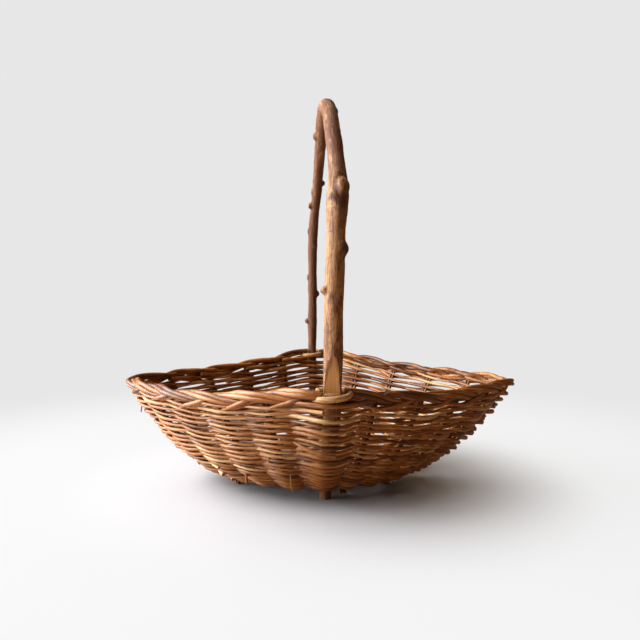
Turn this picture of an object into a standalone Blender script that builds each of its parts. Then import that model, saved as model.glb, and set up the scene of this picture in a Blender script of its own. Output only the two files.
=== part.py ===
"""Willow gathering basket with a bent branch handle.

The wall is woven: closed rows of willow rod pass in front of and behind eighteen side stakes
and the two legs of the handle. A rope of three rods finishes the rim on each side, a rod is
wound round each leg where it meets the rim, and the base is a cross of sticks bound with rings.
X is the long way of the oval, the handle's legs stand at -Y (near) and +Y (far), Z is up.
"""

import math

import bmesh
import bpy
from mathutils import Matrix, Vector

MM = 0.001

# Clearance between pieces that touch
SEAT = 0.3 * MM

# Oval of the rim and of the base edge, and the height of each
RIM_HALF_LENGTH = 241 * MM
RIM_HALF_WIDTH = 203 * MM
RIM_POWER = 1.25
RIM_TIP_HEIGHT = 124 * MM
RIM_LEG_RISE = 16 * MM
RIM_RISE_SHARPNESS = 4
EDGE_HALF_LENGTH = 99.5 * MM
EDGE_HALF_WIDTH = 80 * MM
EDGE_POWER = 2.0
EDGE_HEIGHT = 14 * MM
# How far the base edge's two ends lie to the left, while its middle stays between the legs
EDGE_END_SHIFT = 10.5 * MM

# The wall rises as a power of its spread, more steeply at the legs than at the tips
TIP_PROFILE_POWER = 2.0
LEG_PROFILE_POWER = 1.5

# Uprights: places round the wall, two of them taken by the handle's legs
STATIONS = 20
FAR_STATION = STATIONS // 4
NEAR_STATION = 3 * STATIONS // 4
STAKE_SEGMENTS = 8
LEG_SEGMENTS = 16
STAKE_RADIUS = 2.75 * MM
STAKE_BUTT_HEIGHT = 6 * MM
# Stations whose stakes reach the table
STANDING_STAKES = (1, 9, 11, 19)

# Weaving rows of the wall
ROWS = 20
WEAVER_RADIUS = 2.5 * MM
FIRST_ROW_UP_THE_WALL = 9 * MM
TOP_ROW_BELOW_RIM = 14 * MM
FIT_PASSES = 5

# Rope of three rods round the rim
STRANDS = 3
STRAND_RADIUS = 4 * MM
STRAND_GAP = 0.6 * MM
STRAND_LAYS_PER_STATION = 2
STRAND_POINTS_PER_STATION = 4
STRAND_END_SLANT_SHARE = 0.6
STRAND_SKIP_SHARE = 0.25

# Rod wound round each leg at the rim
COLLAR_ROD_RADIUS = 3.6 * MM
COLLAR_TURNS = 1.5
COLLAR_POINTS_PER_TURN = 12
COLLAR_COIL_GAP = 0.5 * MM

# Handle: a branch bent to an arch, its legs woven into the wall and standing on the table
HANDLE_TOP = 467.5 * MM
HANDLE_RADIUS = 9 * MM
HANDLE_SWAY = 18 * MM
HANDLE_ARCH_POWER = 2.15
HANDLE_ARCH_STEPS = 44
NEAR_LEG_SHIFT = 13 * MM
FAR_LEG_SHIFT = 13 * MM
NEAR_RIM_RADIUS = 8 * MM
NEAR_FOOT_RADIUS = 7 * MM
FAR_RIM_RADIUS = 6.5 * MM
FAR_FOOT_RADIUS = 6 * MM
# Height up the wall against spread of a leg, which stands upright before it reaches the rim
LEG_PATH_SHARES = (
    (0.0, 0.0), (0.1, 0.13), (0.3, 0.37), (0.5, 0.6), (0.7, 0.82),
    (0.8, 0.92), (0.87, 0.98), (0.92, 1.0), (1.0, 1.0),
)
# Progress along the arch, from near to far, against sideways sway and thickness
SWAY_SHARES = (
    (0.0, 0.0), (0.08, 0.1), (0.16, 0.28), (0.22, 0.42), (0.32, 0.34), (0.42, 0.32),
    (0.5, 0.32), (0.6, 0.36), (0.72, 0.26), (0.82, 0.0), (0.92, 0.02), (1.0, 0.0),
)
THICKNESS_SHARES = (
    (0.0, 0.89), (0.023, 0.92), (0.05, 1.05), (0.1, 1.06), (0.125, 1.1), (0.145, 1.1), (0.165, 1.12),
    (0.183, 1.2), (0.2, 1.26), (0.213, 1.18), (0.226, 1.02), (0.245, 0.97), (0.36, 0.96), (0.5, 1.02),
    (0.6, 0.93), (0.68, 0.8), (0.8, 0.76), (0.9, 0.75), (1.0, 0.72),
)

# Slanted cuts that thin the legs where they enter the rim
SLYPE_LENGTH = 48 * MM
SLYPE_DEPTH = 6 * MM

# Trimmed side shoots of the branch: place along the arch, bearing round it, length and radius
SHOOT_OVERLAP = 4 * MM
SHOOT_TAPER_SHARE = 0.72
SHOOT_SIDES = 7
SHOOTS = (
    (0.095, 195, 4.5 * MM, 3.0 * MM),
    (0.139, -15, 4.0 * MM, 4.6 * MM),
    (0.210, -50, 3.0 * MM, 6.5 * MM),
    (0.609, 180, 3.0 * MM, 3.0 * MM),
    (0.721, 0, 3.5 * MM, 2.6 * MM),
    (0.767, 185, 4.5 * MM, 2.8 * MM),
    (0.915, 0, 3.2 * MM, 2.8 * MM),
    (0.957, 180, 4.2 * MM, 3.0 * MM),
)

# Base: long sticks under cross sticks, fanned to the edge, and rings woven over and under them
BASE_STICK_RADIUS = 3.5 * MM
BASE_LONG_HEIGHT = 11.2 * MM
BASE_STICK_SPACING = 13 * MM
BASE_LONG_SIDE_COUNT = 1
BASE_CROSS_SIDE_COUNT = 2
BASE_STICK_ENDS = 4 * (BASE_LONG_SIDE_COUNT + BASE_CROSS_SIDE_COUNT) + 4
BASE_FAN_START_SHARE = 0.36
BASE_RINGS = 5
BASE_RING_RADIUS = 2.2 * MM
BASE_RING_PITCH = 7 * MM

# Facets: bevel resolutions of the tubes, samples of the measured curves, and the weld of a tube's caps
ROD_FACETS = 1
STICK_FACETS = 2
BRANCH_FACETS = 2
CURVE_SAMPLES = 240
WELD_DISTANCE = 0.003 * MM

# Colour, roughness of each material
BARK_BROWN = (0.25, 0.15, 0.085, 1)
WILLOW_TAN = (0.42, 0.24, 0.11, 1)
WILLOW_DARK = (0.27, 0.135, 0.06, 1)
WILLOW_GOLD = (0.50, 0.31, 0.14, 1)
BARK_ROUGHNESS = 0.75
WILLOW_ROUGHNESS = 0.6


def start_scene():
    """Empties the scene and gives the collection that the basket's pieces go in."""
    for thing in list(bpy.data.objects):
        bpy.data.objects.remove(thing, do_unlink=True)
    pieces = bpy.data.collections.new("Gathering basket")
    cutters = bpy.data.collections.new("Cutters")
    bpy.context.scene.collection.children.link(pieces)
    bpy.context.scene.collection.children.link(cutters)
    return pieces, cutters


def finish(name, colour, roughness):
    material = bpy.data.materials.new(name)
    material.use_nodes = True
    shader = material.node_tree.nodes["Principled BSDF"]
    shader.inputs["Base Color"].default_value = colour
    shader.inputs["Roughness"].default_value = roughness
    shader.inputs["Metallic"].default_value = 0
    return material


def read_shares(pairs, share):
    """Reads a table of pairs as straight stretches."""
    for (low, low_value), (high, high_value) in zip(pairs, pairs[1:]):
        if share <= high:
            part = max(share - low, 0) / (high - low)
            return low_value + (high_value - low_value) * part
    return pairs[-1][1]


def resample(points, steps):
    """The points of a polyline at equal steps of its length."""
    travelled = [0]
    for start, end in zip(points, points[1:]):
        travelled.append(travelled[-1] + (end - start).length)
    found = []
    piece = 0
    for step in range(steps + 1):
        goal = travelled[-1] * step / steps
        while piece < len(points) - 2 and travelled[piece + 1] < goal:
            piece += 1
        part = (goal - travelled[piece]) / (travelled[piece + 1] - travelled[piece])
        found.append(points[piece].lerp(points[piece + 1], min(max(part, 0), 1)))
    return found


def quarter_of_oval(half_length, half_width, power):
    """A quarter of a superellipse from +X to +Y, at equal steps of its length."""
    points = []
    for step in range(CURVE_SAMPLES + 1):
        turn = math.pi / 2 * step / CURVE_SAMPLES
        along = abs(math.cos(turn)) ** (2 / power)
        across = math.sin(turn) ** (2 / power)
        points.append(Vector((half_length * along, half_width * across, 0)))
    return resample(points, CURVE_SAMPLES)


def around(quarter, turn):
    """The point of an oval at a share of its way round, from +X through +Y."""
    quadrant, part = divmod(turn % 1 * 4, 1)
    if quadrant % 2 == 1:
        part = 1 - part
    place = part * (len(quarter) - 1)
    before = min(int(place), len(quarter) - 2)
    point = quarter[before].lerp(quarter[before + 1], place - before)
    x_sign = -1 if quadrant in (1, 2) else 1
    y_sign = -1 if quadrant in (2, 3) else 1
    return Vector((point.x * x_sign, point.y * y_sign, 0))


RIM = quarter_of_oval(RIM_HALF_LENGTH, RIM_HALF_WIDTH, RIM_POWER)
EDGE = quarter_of_oval(EDGE_HALF_LENGTH, EDGE_HALF_WIDTH, EDGE_POWER)
RIM_LENGTH = 4 * sum((b - a).length for a, b in zip(RIM, RIM[1:]))
NEAR_LEG_TURN = NEAR_STATION / STATIONS + NEAR_LEG_SHIFT / RIM_LENGTH
FAR_LEG_TURN = FAR_STATION / STATIONS + FAR_LEG_SHIFT / RIM_LENGTH


def legward(turn):
    """0 at the tips of the oval and 1 at the legs, with no kink at either."""
    return (1 - math.cos(4 * math.pi * turn)) / 2


def rim_point(turn):
    height = RIM_TIP_HEIGHT + RIM_LEG_RISE * legward(turn) ** RIM_RISE_SHARPNESS
    return around(RIM, turn) + Vector((0, 0, height))


def edge_place(turn):
    return around(EDGE, turn) - Vector((EDGE_END_SHIFT * (1 - legward(turn)), 0, 0))


def wall_line(turn, segments):
    """The wall's middle surface from the base edge to the rim, at equal steps of its length."""
    bottom = edge_place(turn) + Vector((0, 0, EDGE_HEIGHT))
    top = rim_point(turn)
    power = TIP_PROFILE_POWER + (LEG_PROFILE_POWER - TIP_PROFILE_POWER) * legward(turn)
    points = []
    for step in range(CURVE_SAMPLES + 1):
        spread = step / CURVE_SAMPLES
        point = bottom.lerp(top, spread)
        point.z = bottom.z + (top.z - bottom.z) * spread**power
        points.append(point)
    return resample(points, segments)


def station_turn(station):
    if station == NEAR_STATION:
        return NEAR_LEG_TURN
    if station == FAR_STATION:
        return FAR_LEG_TURN
    return station / STATIONS


class Upright:
    """What the rows weave round: a stake or a leg, as points up the wall and a radius at each."""

    def __init__(self, station):
        self.turn = station_turn(station)
        self.is_leg = station in (NEAR_STATION, FAR_STATION)
        self.points = wall_line(self.turn, LEG_SEGMENTS if self.is_leg else STAKE_SEGMENTS)
        self.radii = [STAKE_RADIUS] * len(self.points)
        if self.is_leg:
            self.lay_leg(*self.leg_radii(station))

    def leg_radii(self, station):
        if station == NEAR_STATION:
            return NEAR_FOOT_RADIUS, NEAR_RIM_RADIUS
        return FAR_FOOT_RADIUS, FAR_RIM_RADIUS

    def lay_leg(self, foot_radius, rim_radius):
        """Moves the points out to the leg's own path, whose foot stands clear of the base."""
        outward = around(EDGE, self.turn).normalized()
        bottom = self.points[0] + outward * (foot_radius - STAKE_RADIUS)
        top = self.points[-1]
        for index, point in enumerate(self.points):
            rise = (point.z - bottom.z) / (top.z - bottom.z)
            spread = read_shares(LEG_PATH_SHARES, rise)
            self.points[index] = Vector((*bottom.lerp(top, spread).xy, point.z))
            self.radii[index] = foot_radius + (rim_radius - foot_radius) * rise

    def at(self, share):
        """The middle, the direction and the radius at a share of the way up the wall."""
        place = share * (len(self.points) - 1)
        before = min(int(place), len(self.points) - 2)
        part = place - before
        low, high = self.points[before], self.points[before + 1]
        radius = self.radii[before] + (self.radii[before + 1] - self.radii[before]) * part
        return low.lerp(high, part), (high - low).normalized(), radius

    def wall_length(self):
        return sum((b - a).length for a, b in zip(self.points, self.points[1:]))


def clear_of(corners, uprights, need):
    """Moves each corner of a closed rod out from its upright until both its stretches are clear.

    A corner is a middle, a direction out and an axis; need is the distance that the rod keeps.
    """
    reaches = list(need)
    for _ in range(FIT_PASSES):
        placed = [middle + out * reach for (middle, out), reach in zip(corners, reaches)]
        for index, (middle, out) in enumerate(corners):
            axis = uprights[index]
            steepest = 0
            for neighbour in (placed[index - 1], placed[(index + 1) % len(placed)]):
                run = neighbour - placed[index]
                run -= axis * run.dot(axis)
                steepest = max(steepest, -run.normalized().dot(out))
            reaches[index] = need[index] / math.sqrt(1 - steepest**2)
    return [middle + out * reach for (middle, out), reach in zip(corners, reaches)]


def weaving_row(uprights, share, parity):
    """The corners of one row, which passes each upright on the other side than the last."""
    middles = [upright.at(share) for upright in uprights]
    corners = []
    axes = []
    need = []
    for index, (middle, axis, radius) in enumerate(middles):
        along = middles[(index + 1) % len(middles)][0] - middles[index - 1][0]
        out = along.cross(axis).normalized()
        side = 1 if (index + parity) % 2 == 0 else -1
        corners.append((middle, out * side))
        axes.append(axis)
        need.append(radius + WEAVER_RADIUS + SEAT)
    return clear_of(corners, axes, need)


def rod(name, points, radius, material, pieces, closed=False, radii=None, facets=ROD_FACETS):
    """A round rod as a bevelled curve along the points."""
    curve = bpy.data.curves.new(name, "CURVE")
    curve.dimensions = "3D"
    curve.bevel_depth = radius
    curve.bevel_resolution = facets
    curve.use_fill_caps = True
    spline = curve.splines.new("POLY")
    spline.points.add(len(points) - 1)
    for index, point in enumerate(points):
        spline.points[index].co = (*point, 1)
        if radii:
            spline.points[index].radius = radii[index] / radius
    spline.use_cyclic_u = closed
    spline.use_smooth = True
    curve.materials.append(material)
    piece = bpy.data.objects.new(name, curve)
    pieces.objects.link(piece)
    return piece


def make_rows(uprights, material, pieces):
    shortest = min(upright.wall_length() for upright in uprights)
    first = FIRST_ROW_UP_THE_WALL / shortest
    last = 1 - TOP_ROW_BELOW_RIM / shortest
    for row in range(ROWS):
        share = first + (last - first) * row / (ROWS - 1)
        points = weaving_row(uprights, share, row % 2)
        rod(f"weaving_row_{row + 1:02d}", points, WEAVER_RADIUS, material, pieces, closed=True)


def make_stakes(uprights, material, pieces):
    """Side stakes, from a butt below the base edge up the wall to just under the rim's rope."""
    for station, upright in enumerate(uprights):
        if upright.is_leg:
            continue
        foot = upright.points[0].copy()
        foot.z = 0 if station in STANDING_STAKES else STAKE_BUTT_HEIGHT
        tip = upright.points[-1]
        run_in = (tip - upright.points[-2]).normalized()
        tip = tip - run_in * (rope_radius() + SEAT)
        points = [foot] + upright.points[:-1] + [tip]
        rod(f"side_stake_{station:02d}", points, STAKE_RADIUS, material, pieces)


def rope_turn_radius():
    """Radius that the middles of the rope's rods turn on, so that they lie side by side."""
    lay_step = 2 * math.pi * STRAND_LAYS_PER_STATION / STRANDS / STRAND_POINTS_PER_STATION
    return (2 * STRAND_RADIUS + STRAND_GAP) / (math.sqrt(3) * math.cos(lay_step / 2))


def rope_radius():
    return rope_turn_radius() + STRAND_RADIUS


def past_collar(leg_turn, rim_radius, way):
    """The place on the rim, one way from a leg, where the slanted end of a rim rod clears the collar."""
    reach = rim_radius + SEAT + 2 * COLLAR_ROD_RADIUS + SEAT + STRAND_RADIUS * STRAND_END_SLANT_SHARE
    leg = around(RIM, leg_turn)
    turn = leg_turn
    while (around(RIM, turn) - leg).length < reach:
        turn += way / (STATIONS * CURVE_SAMPLES)
    return turn


def strand_points(start, end, strand):
    """One rod of the rope, between two places on the rim."""
    step = 1 / (STATIONS * STRAND_POINTS_PER_STATION)
    nearest = step * STRAND_SKIP_SHARE
    turns = [start]
    place = math.ceil(start / step) * step
    while place < end:
        if place - start > nearest and end - place > nearest:
            turns.append(place)
        place += step
    turns.append(end)
    points = []
    for turn in turns:
        along = (rim_point(turn + step) - rim_point(turn - step)).normalized()
        out = along.cross(Vector((0, 0, 1))).normalized()
        up = out.cross(along).normalized()
        lay = 2 * math.pi * (turn * STATIONS * STRAND_LAYS_PER_STATION / STRANDS + strand / STRANDS)
        offset = (out * math.sin(lay) - up * math.cos(lay)) * rope_turn_radius()
        points.append(rim_point(turn) + offset)
    return points


def make_rim(material, pieces):
    sides = {
        "left": (
            past_collar(FAR_LEG_TURN, FAR_RIM_RADIUS, 1),
            past_collar(NEAR_LEG_TURN, NEAR_RIM_RADIUS, -1),
        ),
        "right": (
            past_collar(NEAR_LEG_TURN, NEAR_RIM_RADIUS, 1),
            past_collar(FAR_LEG_TURN + 1, FAR_RIM_RADIUS, -1),
        ),
    }
    for side, (start, end) in sides.items():
        for strand in range(STRANDS):
            name = f"rim_rod_{side}_{strand + 1}"
            rod(name, strand_points(start, end, strand), STRAND_RADIUS, material, pieces)


def make_collar(name, upright, rim_radius, material, pieces):
    """A rod wound round a leg at the height of the rim's rope."""
    middle = upright.points[-1]
    half_step = math.pi / COLLAR_POINTS_PER_TURN
    turn_radius = (rim_radius + SEAT + COLLAR_ROD_RADIUS) / math.cos(half_step)
    pitch = 2 * COLLAR_ROD_RADIUS + COLLAR_COIL_GAP
    points = []
    for step in range(int(COLLAR_TURNS * COLLAR_POINTS_PER_TURN) + 1):
        turns = step / COLLAR_POINTS_PER_TURN
        bearing = 2 * math.pi * turns
        height = pitch * (turns - COLLAR_TURNS / 2)
        points.append(
            middle + Vector((turn_radius * math.cos(bearing), turn_radius * math.sin(bearing), height))
        )
    rod(name, points, COLLAR_ROD_RADIUS, material, pieces)


def arch_point(near, far, progress):
    """A point of the handle's arch, from the near leg's rim point to the far one's."""
    bearing = math.pi * progress
    swing = math.copysign(abs(math.cos(bearing)) ** (2 / HANDLE_ARCH_POWER), math.cos(bearing))
    rise = math.sin(bearing) ** (2 / HANDLE_ARCH_POWER)
    middle = near.lerp(far, (1 - swing) / 2)
    middle.z += (HANDLE_TOP - middle.z) * rise
    middle.x += HANDLE_SWAY * read_shares(SWAY_SHARES, progress)
    return middle


def handle_path(near, far):
    """Points and radii of the whole branch, from the near foot over the arch to the far foot."""
    points = []
    radii = []
    for upright in (near, far):
        foot = Vector((*upright.points[0].xy, 0))
        leg = [foot] + upright.points
        leg_radii = [upright.radii[0]] + upright.radii
        if upright is near:
            points += leg
            radii += leg_radii
            for step in range(1, HANDLE_ARCH_STEPS):
                progress = step / HANDLE_ARCH_STEPS
                points.append(arch_point(near.points[-1], far.points[-1], progress))
                radii.append(HANDLE_RADIUS * read_shares(THICKNESS_SHARES, progress))
        else:
            points += reversed(leg)
            radii += reversed(leg_radii)
    return points, radii


def as_mesh(piece, pieces):
    """Replaces a curve piece by a closed mesh of the same name."""
    name = piece.name
    graph = bpy.context.evaluated_depsgraph_get()
    mesh = bpy.data.meshes.new_from_object(piece.evaluated_get(graph))
    work = bmesh.new()
    work.from_mesh(mesh)
    bmesh.ops.remove_doubles(work, verts=work.verts, dist=WELD_DISTANCE)
    work.to_mesh(mesh)
    work.free()
    place = piece.matrix_world.copy()
    bpy.data.objects.remove(piece, do_unlink=True)
    solid = bpy.data.objects.new(name, mesh)
    solid.matrix_world = place
    pieces.objects.link(solid)
    return solid


def add_cut(solid, cutter, operation, cutters):
    """Applies a Boolean by a cutter that stays out of the build."""
    cutters.objects.link(cutter)
    cutter.hide_render = True
    cutter.display_type = "WIRE"
    change = solid.modifiers.new(cutter.name, "BOOLEAN")
    change.operation = operation
    change.object = cutter
    change.solver = "EXACT"


def slype_cutter(upright, side, name):
    """A block whose inner face is the slanted cut on a leg's outer side, just above the rim."""
    work = bmesh.new()
    size = SLYPE_LENGTH + 2 * HANDLE_RADIUS
    bmesh.ops.create_cube(work, size=size)
    slant = math.atan2(SLYPE_DEPTH, SLYPE_LENGTH)
    outer = HANDLE_RADIUS if upright.points[-1].y < 0 else HANDLE_RADIUS * THICKNESS_SHARES[-1][1]
    top = upright.points[-1] + Vector((0, side * outer, SLYPE_LENGTH))
    turn = Matrix.Rotation(side * slant, 4, "X")
    shift = Matrix.Translation((0, side * size / 2, -size / 2))
    bmesh.ops.transform(work, matrix=Matrix.Translation(top) @ turn @ shift, verts=work.verts)
    floor = upright.points[-1].z + COLLAR_ROD_RADIUS
    geometry = list(work.verts) + list(work.edges) + list(work.faces)
    cut = bmesh.ops.bisect_plane(
        work, geom=geometry, plane_co=(0, 0, floor), plane_no=(0, 0, 1), clear_inner=True
    )
    rims = [item for item in cut["geom_cut"] if isinstance(item, bmesh.types.BMEdge)]
    bmesh.ops.contextual_create(work, geom=rims)
    bmesh.ops.recalc_face_normals(work, faces=work.faces)
    mesh = bpy.data.meshes.new(name)
    work.to_mesh(mesh)
    work.free()
    return bpy.data.objects.new(name, mesh)


def shoot_stub(near, far, progress, bearing, length, radius, name):
    """A trimmed side shoot, as a cone whose root is buried in the branch."""
    middle = arch_point(near.points[-1], far.points[-1], progress)
    ahead = arch_point(near.points[-1], far.points[-1], progress + 1 / CURVE_SAMPLES)
    along = (ahead - middle).normalized()
    side = Vector((1, 0, 0))
    side = (side - along * side.dot(along)).normalized()
    out = Matrix.Rotation(math.radians(bearing), 3, along) @ side
    thickness = HANDLE_RADIUS * read_shares(THICKNESS_SHARES, progress)
    root = middle + out * (thickness - SHOOT_OVERLAP)
    work = bmesh.new()
    depth = length + SHOOT_OVERLAP
    tip_radius = radius * SHOOT_TAPER_SHARE
    bmesh.ops.create_cone(
        work, cap_ends=True, segments=SHOOT_SIDES, radius1=radius, radius2=tip_radius, depth=depth
    )
    turn = out.to_track_quat("Z", "Y").to_matrix().to_4x4()
    centre = Matrix.Translation(root + out * (depth / 2))
    bmesh.ops.transform(work, matrix=centre @ turn, verts=work.verts)
    mesh = bpy.data.meshes.new(name)
    work.to_mesh(mesh)
    work.free()
    return bpy.data.objects.new(name, mesh)


def make_handle(near, far, material, pieces, cutters):
    points, radii = handle_path(near, far)
    branch = rod(
        "branch_handle", points, HANDLE_RADIUS, material, pieces, radii=radii, facets=BRANCH_FACETS
    )
    branch = as_mesh(branch, pieces)
    for number, (progress, bearing, length, radius) in enumerate(SHOOTS):
        stub = shoot_stub(near, far, progress, bearing, length, radius, f"shoot_{number + 1}")
        add_cut(branch, stub, "UNION", cutters)
    add_cut(branch, slype_cutter(near, -1, "near_slype"), "DIFFERENCE", cutters)
    add_cut(branch, slype_cutter(far, 1, "far_slype"), "DIFFERENCE", cutters)


def stick_reach(turn):
    """Where a base stick ends, just short of the butts that stand round the base edge."""
    edge = edge_place(turn)
    return edge - edge.normalized() * (STAKE_RADIUS + SEAT)


def base_sticks():
    """Kind, places of the two ends, starts of the two fans and height of each stick."""
    cross_height = BASE_LONG_HEIGHT + 2 * BASE_STICK_RADIUS + SEAT
    long_reach = EDGE_HALF_LENGTH * BASE_FAN_START_SHARE
    cross_reach = EDGE_HALF_WIDTH * BASE_FAN_START_SHARE
    sticks = []
    for number in range(-BASE_LONG_SIDE_COUNT, BASE_LONG_SIDE_COUNT + 1):
        ends = (number / BASE_STICK_ENDS, 0.5 - number / BASE_STICK_ENDS)
        aside = number * BASE_STICK_SPACING
        bends = (Vector((long_reach, aside, 0)), Vector((-long_reach, aside, 0)))
        sticks.append(("long", ends, bends, BASE_LONG_HEIGHT))
    for number in range(-BASE_CROSS_SIDE_COUNT, BASE_CROSS_SIDE_COUNT + 1):
        ends = (0.25 - number / BASE_STICK_ENDS, 0.75 + number / BASE_STICK_ENDS)
        aside = number * BASE_STICK_SPACING
        bends = (Vector((aside, cross_reach, 0)), Vector((aside, -cross_reach, 0)))
        sticks.append(("cross", ends, bends, cross_height))
    return sticks


def make_base_sticks(sticks, material, pieces):
    counts = {"long": 0, "cross": 0}
    for kind, ends, bends, height in sticks:
        counts[kind] += 1
        up = Vector((0, 0, height))
        points = [stick_reach(ends[0]) + up, bends[0] + up, bends[1] + up, stick_reach(ends[1]) + up]
        name = f"base_{kind}_stick_{counts[kind]}"
        rod(name, points, BASE_STICK_RADIUS, material, pieces, facets=STICK_FACETS)


def make_base_rings(sticks, material, pieces):
    """Rings round the middle of the base, over one stick end and under the next."""
    arms = []
    for _, ends, bends, height in sticks:
        for end, bend in zip(ends, bends):
            arms.append((end % 1, bend, stick_reach(end), height))
    arms.sort(key=lambda arm: arm[0])
    outermost = STAKE_RADIUS + SEAT + BASE_RING_RADIUS
    for ring in range(BASE_RINGS):
        inset = outermost + ring * BASE_RING_PITCH
        corners = []
        axes = []
        for index, (_, bend, tip, height) in enumerate(arms):
            run = (tip - bend).normalized()
            middle = tip - run * (inset - STAKE_RADIUS - SEAT)
            side = 1 if (index + ring) % 2 == 0 else -1
            corners.append((middle + Vector((0, 0, height)), Vector((0, 0, side))))
            axes.append(run)
        need = [BASE_STICK_RADIUS + BASE_RING_RADIUS + SEAT] * len(corners)
        points = clear_of(corners, axes, need)
        rod(f"base_ring_{ring + 1}", points, BASE_RING_RADIUS, material, pieces, closed=True)


def main():
    pieces, cutters = start_scene()
    bark = finish("branch bark", BARK_BROWN, BARK_ROUGHNESS)
    tan = finish("woven willow", WILLOW_TAN, WILLOW_ROUGHNESS)
    dark = finish("stake willow", WILLOW_DARK, WILLOW_ROUGHNESS)
    gold = finish("rim willow", WILLOW_GOLD, WILLOW_ROUGHNESS)
    uprights = [Upright(station) for station in range(STATIONS)]
    near = uprights[NEAR_STATION]
    far = uprights[FAR_STATION]
    make_handle(near, far, bark, pieces, cutters)
    make_collar("near_leg_binding", near, NEAR_RIM_RADIUS, gold, pieces)
    make_collar("far_leg_binding", far, FAR_RIM_RADIUS, gold, pieces)
    make_rim(gold, pieces)
    make_rows(uprights, tan, pieces)
    make_stakes(uprights, dark, pieces)
    sticks = base_sticks()
    make_base_sticks(sticks, dark, pieces)
    make_base_rings(sticks, tan, pieces)


main()
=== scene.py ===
"""Looks of the willow gathering basket: woven rods, plaited border, bark handle, floor and light."""

import math
import random

import bmesh
import bpy
from bpy.props import FloatProperty, FloatVectorProperty, IntProperty, PointerProperty
from bpy.types import Operator, Panel, PropertyGroup
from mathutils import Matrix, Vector, noise


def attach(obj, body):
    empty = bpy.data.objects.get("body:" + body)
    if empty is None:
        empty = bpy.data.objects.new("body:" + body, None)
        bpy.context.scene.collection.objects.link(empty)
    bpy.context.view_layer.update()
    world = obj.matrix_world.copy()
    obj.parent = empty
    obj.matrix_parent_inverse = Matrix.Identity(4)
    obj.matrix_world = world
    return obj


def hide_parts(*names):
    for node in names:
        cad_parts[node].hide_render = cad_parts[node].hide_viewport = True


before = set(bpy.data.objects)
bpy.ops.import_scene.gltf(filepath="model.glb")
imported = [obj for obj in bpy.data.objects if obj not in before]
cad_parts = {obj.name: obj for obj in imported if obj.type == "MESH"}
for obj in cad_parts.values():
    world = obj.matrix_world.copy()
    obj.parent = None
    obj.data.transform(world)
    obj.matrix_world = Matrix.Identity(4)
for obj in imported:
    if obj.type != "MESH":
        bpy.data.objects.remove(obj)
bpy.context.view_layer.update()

bl_info = {
    "name": "Willow gathering basket",
    "version": (1, 0, 0),
    "blender": (4, 5, 0),
    "location": "3D View > Sidebar > Basket",
    "description": "Dresses the frame of a willow gathering basket with woven rods, bark, floor and light",
    "category": "Object",
}

MM = 0.001

# Shape of the ovals and of the wall's rise, as in the frame
RIM_POWER = 1.25
EDGE_POWER = 2.0
TIP_PROFILE_POWER = 2.0
LEG_PROFILE_POWER = 1.5
RIM_RISE_SHARPNESS = 4
STATIONS = 20
FAR_STATION = STATIONS // 4
NEAR_STATION = 3 * STATIONS // 4
CURVE_SAMPLES = 200
GRID_TURNS = 400
GRID_SHARES = 48
LEG_STEPS = 60

# Radius of each leg inside the wall, at its foot and at the rim
LEG_RADII = {NEAR_STATION: (7 * MM, 9.4 * MM), FAR_STATION: (6 * MM, 6.5 * MM)}
# Height up the wall against spread of a leg
LEG_PATH_SHARES = (
    (0.0, 0.0), (0.1, 0.13), (0.3, 0.37), (0.5, 0.6), (0.7, 0.82),
    (0.8, 0.92), (0.87, 0.98), (0.92, 1.0), (1.0, 1.0),
)

ROD_SIDES = 8
THICK_ROD_SIDES = 10
ROD_STEP = 4.5 * MM

SEED_WALL = 11
SEED_STAKES = 23
SEED_BORDER = 37
SEED_BINDINGS = 38
SEED_BASE = 41


def number_setting(name, description, default, **more):
    return FloatProperty(name=name, description=description, default=default, **more)


def length_setting(name, description, default):
    return number_setting(name, description, default, unit="LENGTH")


def colour_setting(name, description, *default):
    return FloatVectorProperty(
        name=name, description=description, default=(*default, 1), size=4, min=0, max=1, subtype="COLOR")


class BasketForm(PropertyGroup):
    """Sizes that the whole basket shares. They say again what the frame says."""

    rim_half_length: length_setting("Rim half length", "From the middle to a tip of the rim", 0.241)
    rim_half_width: length_setting("Rim half width", "From the middle to a leg at the rim", 0.203)
    rim_tip_height: length_setting("Rim height at the tips", "Height of the rim's middle line there", 0.124)
    rim_leg_rise: length_setting("Rise of the rim", "How much higher the rim is at the legs", 0.016)
    edge_half_length: length_setting("Base half length", "From the middle to the base edge's end", 0.0995)
    edge_half_width: length_setting("Base half width", "From the middle to the base edge's side", 0.080)
    edge_height: length_setting("Height of the base edge", "Above the table", 0.014)
    edge_end_shift: length_setting("Shift of the base's ends", "How far left both ends lie", 0.0105)
    leg_shift: length_setting("Shift of the legs", "Way round the rim from its middle to a leg", 0.013)
    handle_top: length_setting("Handle height", "Height of the handle's middle line at the top", 0.4675)
    handle_radius: length_setting("Handle radius", "Radius that the thickness shares multiply", 0.009)
    handle_sway: length_setting("Handle sway", "Length that the sway shares multiply", 0.018)


class BasketWeave(PropertyGroup):
    """Sizes of the rods and how closely they lie."""

    rows: IntProperty(
        name="Rows", description="Weaving rows from the base edge to the border", default=40, min=8)
    butt_radius: length_setting("Rod radius, butt", "Radius of a weaver at its thick end", 0.0028)
    tip_radius: length_setting("Rod radius, tip", "Radius of a weaver at its thin end", 0.0018)
    stake_radius: length_setting("Stake radius", "Radius of one rod of a pair of side stakes", 0.0021)
    border_radius: length_setting("Border rod radius", "Radius of a rod of the plaited border", 0.0030)
    first_row: length_setting("First row", "Way up the wall of the lowest row", 0.0015)
    last_row: length_setting("Last row", "Way down from the rim of the highest row", 0.0078)
    wander: length_setting("Wander", "How far a rod strays from its row", 0.0020)
    slant: length_setting("Slant", "How far a rod drops along each stretch outside a stake", 0.0017)
    level: number_setting(
        "Level", "How far the rods keep level where they pass an upright", 0.7,
        min=0, max=1, subtype="FACTOR")


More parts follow.
